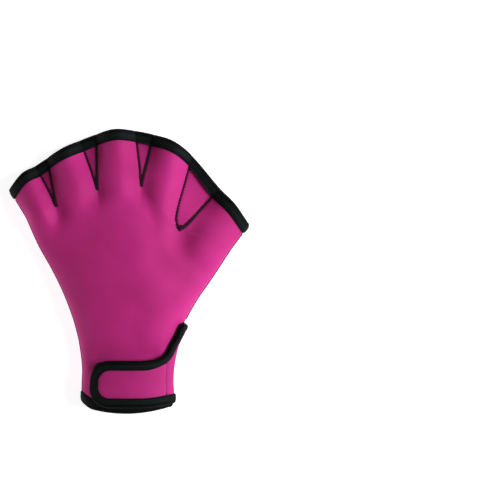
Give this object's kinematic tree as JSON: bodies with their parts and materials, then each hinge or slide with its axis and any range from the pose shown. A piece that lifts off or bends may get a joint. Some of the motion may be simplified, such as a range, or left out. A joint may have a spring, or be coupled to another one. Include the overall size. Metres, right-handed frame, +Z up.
{
  "type": "webbed swim glove",
  "caption": "Left-hand neoprene swim glove with webs between open-ended fingers, bound edges and a wrist strap; it lies palm down.",
  "frame": {"origin": "on the surface that the glove lies on, under the middle of its box", "axes": "+X to the thumb side, +Y from the wrist to the finger edge, +Z up out of the back of the hand"},
  "size_m": [0.1937, 0.2266, 0.0324],
  "materials": {
    "neoprene": "matt nylon jersey on neoprene",
    "web_neoprene": "matt nylon jersey on neoprene",
    "binding_tape": "matt woven tape"
  },
  "bodies": {
    "root": {"back_panel": "neoprene", "palm_panel": "neoprene", "web_thumb_index": "web_neoprene", "web_index_middle": "web_neoprene", "web_middle_ring": "web_neoprene", "web_ring_pinky": "web_neoprene", "finger_edge_binding_back": "binding_tape", "finger_edge_binding_palm": "binding_tape", "hem_binding_back": "binding_tape", "hem_binding_palm": "binding_tape", "closure_strap": "neoprene", "strap_binding": "binding_tape"}
  },
  "joints": []
}
